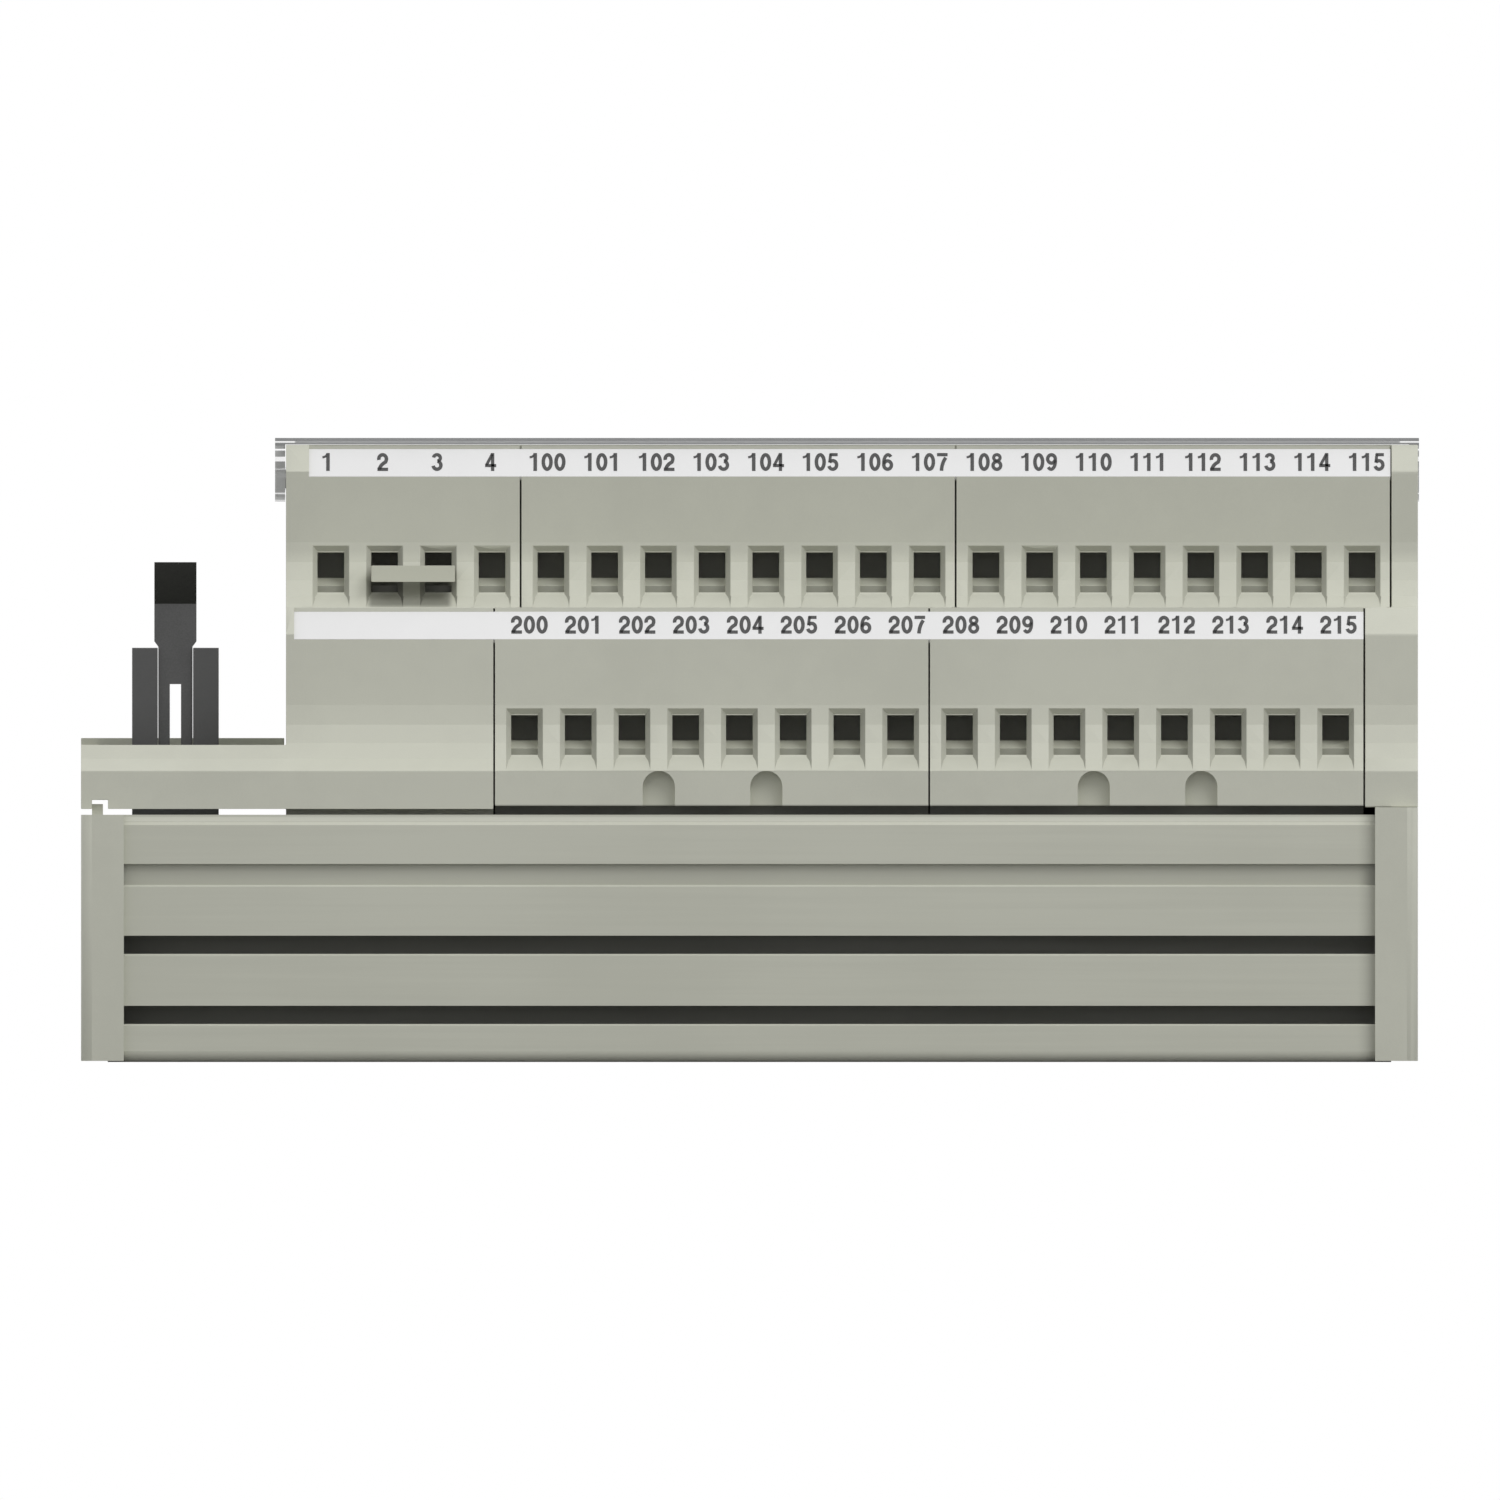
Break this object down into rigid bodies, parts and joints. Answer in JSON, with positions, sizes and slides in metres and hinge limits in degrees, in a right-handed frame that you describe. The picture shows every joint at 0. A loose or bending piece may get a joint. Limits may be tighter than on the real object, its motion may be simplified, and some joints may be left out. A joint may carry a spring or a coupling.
{
  "type": "terminal interface sub-base",
  "caption": "Rail-mounted interface base: two tiers of screw terminals, a latched box header, label strips and a clear hinged cover, on an extruded base with sliding rail feet.",
  "frame": {"origin": "centre of the box round the whole object, at the plane of the base's underside", "axes": "+X along the mounting rail to the right as seen from the wire entries, +Y from the wire entries to the back, +Z away from the rail"},
  "size_m": [0.125, 0.07, 0.0583],
  "materials": {
    "housing_plastic": "fine satin moulded",
    "foot_plastic": "satin moulded",
    "board_laminate": "satin laminate",
    "link_plastic": "satin moulded",
    "black_plastic": "satin",
    "clear_plastic": "clear polished",
    "label_plastic": "satin",
    "zinc_steel": "zinc plated",
    "tinned_copper": "tin plated",
    "contact_brass": "gold flashed"
  },
  "bodies": {
    "base": {"base_profile": "housing_plastic", "end_cap_left": "housing_plastic", "end_cap_right": "housing_plastic", "connector_housing": "housing_plastic", "end_piece_right": "housing_plastic", "rear_housing": "housing_plastic", "terminal_block_common": "housing_plastic", "terminal_block_upper_left": "housing_plastic", "terminal_block_upper_right": "housing_plastic", "terminal_block_lower_left": "housing_plastic", "terminal_block_lower_right": "housing_plastic", "circuit_board": "board_laminate", "jumper_grip": "link_plastic", "jumper_prongs": "tinned_copper", "header_body": "black_plastic", "header_pins": "contact_brass", "label_strip_lower": "label_plastic", "label_strip_upper": "label_plastic", "cages_common": "zinc_steel", "screws_common": "zinc_steel", "pins_common": "tinned_copper", "cages_upper_left": "zinc_steel", "screws_upper_left": "zinc_steel", "pins_upper_left": "tinned_copper", "cages_upper_right": "zinc_steel", "screws_upper_right": "zinc_steel", "pins_upper_right": "tinned_copper", "cages_lower_left": "zinc_steel", "screws_lower_left": "zinc_steel", "pins_lower_left": "tinned_copper", "cages_lower_right": "zinc_steel", "screws_lower_right": "zinc_steel", "pins_lower_right": "tinned_copper"},
    "clear_cover": {"clear_cover": "clear_plastic"},
    "latch_front": {"latch_front": "black_plastic"},
    "latch_rear": {"latch_rear": "black_plastic"},
    "rail_foot_left": {"rail_foot_left": "foot_plastic"},
    "rail_foot_right": {"rail_foot_right": "foot_plastic"}
  },
  "joints": [
    {"name": "cover_hinge", "type": "hinge", "parent": "base", "child": "clear_cover", "pos_m": [0, 0.0306, 0.05447], "axis": [-1, 0, 0], "range_deg": [0, 110]},
    {"name": "latch_front_pivot", "type": "hinge", "parent": "base", "child": "latch_front", "pos_m": [-0.05368, -0.0196, 0.0256], "axis": [1, 0, 0], "range_deg": [0, 30]},
    {"name": "latch_rear_pivot", "type": "hinge", "parent": "base", "child": "latch_rear", "pos_m": [-0.05368, 0.0196, 0.0256], "axis": [-1, 0, 0], "range_deg": [0, 30]},
    {"name": "rail_foot_left_slide", "type": "slide", "parent": "base", "child": "rail_foot_left", "axis": [0, 1, 0], "range_m": [0, 0.0028], "stiffness_N_per_m": 300, "springref_m": -0.004},
    {"name": "rail_foot_right_slide", "type": "slide", "parent": "base", "child": "rail_foot_right", "axis": [0, 1, 0], "range_m": [0, 0.0028], "stiffness_N_per_m": 300, "springref_m": -0.004}
  ]
}
